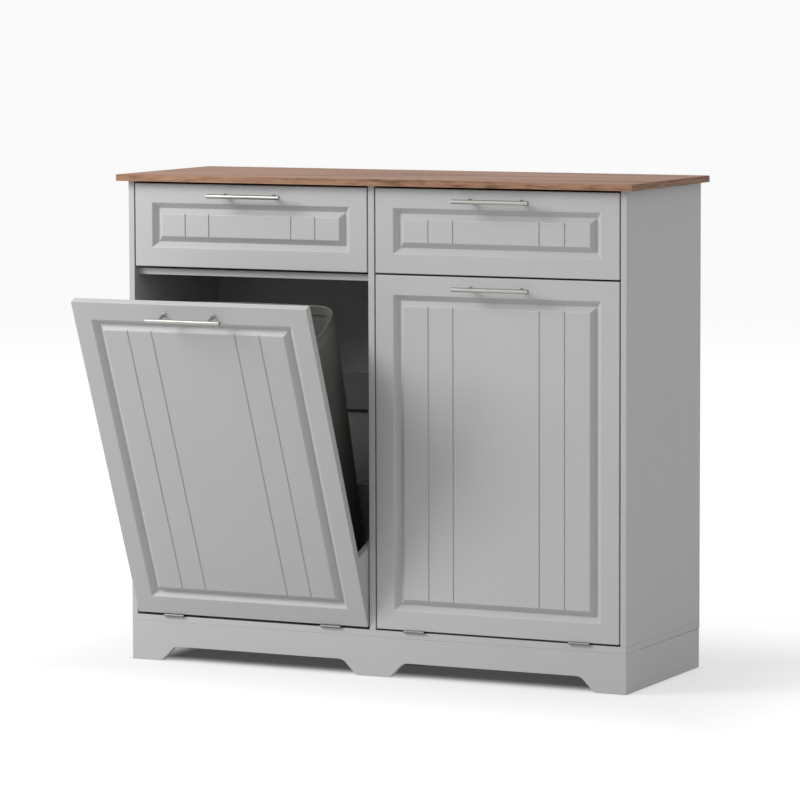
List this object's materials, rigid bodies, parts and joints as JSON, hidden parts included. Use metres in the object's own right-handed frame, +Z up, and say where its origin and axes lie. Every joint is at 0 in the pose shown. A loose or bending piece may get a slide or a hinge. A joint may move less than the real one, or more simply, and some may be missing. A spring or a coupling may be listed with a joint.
{
  "type": "tilt-out trash cabinet",
  "caption": "Free-standing kitchen cabinet with tilt-out waste bins behind panelled doors, drawers above and a wood-grain worktop.",
  "frame": {"origin": "on the floor under the middle of the carcase, at the underside of the centre leg", "axes": "+X to the cabinet's right as seen from the front, +Y to its back, +Z up; the fronts face -Y"},
  "size_m": [1.034, 0.609, 0.905],
  "materials": {
    "painted_board": "satin grey paint on fibreboard",
    "box_board": "matt grey foil on fibreboard",
    "walnut_laminate": "satin wood-grain laminate",
    "hardboard": "grey-faced hardboard",
    "beech_dowel": "bare fluted beech",
    "brushed_nickel": "brushed nickel",
    "nickel_hinge": "satin nickel plate",
    "zinc_screw": "bright zinc plate",
    "zinc_sheet": "zinc-plated sheet steel",
    "steel_ball": "polished bearing steel",
    "cage_plastic": "natural acetal",
    "rubber_bumper": "black rubber",
    "bin_plastic": "fine-grained moulded plastic"
  },
  "bodies": {
    "cabinet": {"back_panel": "hardboard", "back_panel_screws": "zinc_screw", "back_rails": "painted_board", "bottom_board": "painted_board", "centre_divider": "painted_board", "centre_leg": "painted_board", "drawer_shelves": "painted_board", "front_plinth": "painted_board", "hinge_base_leaves": "nickel_hinge", "hinge_base_screws": "zinc_screw", "hinge_pins": "nickel_hinge", "left_side_panel": "painted_board", "panel_dowels": "beech_dowel", "rear_plinth_rail": "painted_board", "right_side_panel": "painted_board", "runner_channels": "zinc_sheet", "side_plinths": "painted_board", "stop_blocks": "painted_board", "stop_bumpers": "rubber_bumper", "worktop": "walnut_laminate"},
    "left_bin_unit": {"left_bin": "bin_plastic", "left_door": "painted_board", "left_door_handle_bar": "brushed_nickel", "left_door_handle_posts": "brushed_nickel", "left_door_handle_screws": "zinc_screw", "left_hinge_door_leaves": "nickel_hinge", "left_hinge_door_screws": "zinc_screw", "left_tray_back": "painted_board", "left_tray_base": "painted_board", "left_tray_sides": "painted_board"},
    "left_drawer": {"left_drawer_back": "box_board", "left_drawer_bottom": "hardboard", "left_drawer_front": "painted_board", "left_drawer_handle_bar": "brushed_nickel", "left_drawer_handle_posts": "brushed_nickel", "left_drawer_handle_screws": "zinc_screw", "left_drawer_rails": "zinc_sheet", "left_drawer_sides": "box_board"},
    "left_runner_cages": {"left_runner_balls": "steel_ball", "left_runner_cages": "cage_plastic"},
    "right_bin_unit": {"right_bin": "bin_plastic", "right_door": "painted_board", "right_door_handle_bar": "brushed_nickel", "right_door_handle_posts": "brushed_nickel", "right_door_handle_screws": "zinc_screw", "right_hinge_door_leaves": "nickel_hinge", "right_hinge_door_screws": "zinc_screw", "right_tray_back": "painted_board", "right_tray_base": "painted_board", "right_tray_sides": "painted_board"},
    "right_drawer": {"right_drawer_back": "box_board", "right_drawer_bottom": "hardboard", "right_drawer_front": "painted_board", "right_drawer_handle_bar": "brushed_nickel", "right_drawer_handle_posts": "brushed_nickel", "right_drawer_handle_screws": "zinc_screw", "right_drawer_rails": "zinc_sheet", "right_drawer_sides": "box_board"},
    "right_runner_cages": {"right_runner_balls": "steel_ball", "right_runner_cages": "cage_plastic"}
  },
  "joints": [
    {"name": "left_bin_tilt", "type": "hinge", "parent": "cabinet", "child": "left_bin_unit", "pos_m": [-0.247, -0.1756, 0.08675], "axis": [1, 0, 0], "range_deg": [-22, 0]},
    {"name": "left_drawer_slide", "type": "slide", "parent": "cabinet", "child": "left_drawer", "axis": [0, -1, 0], "range_m": [0, 0.21]},
    {"name": "left_cage_slide", "type": "slide", "parent": "cabinet", "child": "left_runner_cages", "axis": [0, -1, 0], "range_m": [0, 0.105]},
    {"name": "right_bin_tilt", "type": "hinge", "parent": "cabinet", "child": "right_bin_unit", "pos_m": [0.247, -0.1756, 0.08675], "axis": [1, 0, 0], "range_deg": [0, 22]},
    {"name": "right_drawer_slide", "type": "slide", "parent": "cabinet", "child": "right_drawer", "axis": [0, -1, 0], "range_m": [0, 0.21]},
    {"name": "right_cage_slide", "type": "slide", "parent": "cabinet", "child": "right_runner_cages", "axis": [0, -1, 0], "range_m": [0, 0.105]}
  ],
  "couplings": [
    {"joint": "left_cage_slide", "follows": "left_drawer_slide", "ratio": 0.5},
    {"joint": "right_cage_slide", "follows": "right_drawer_slide", "ratio": 0.5}
  ]
}
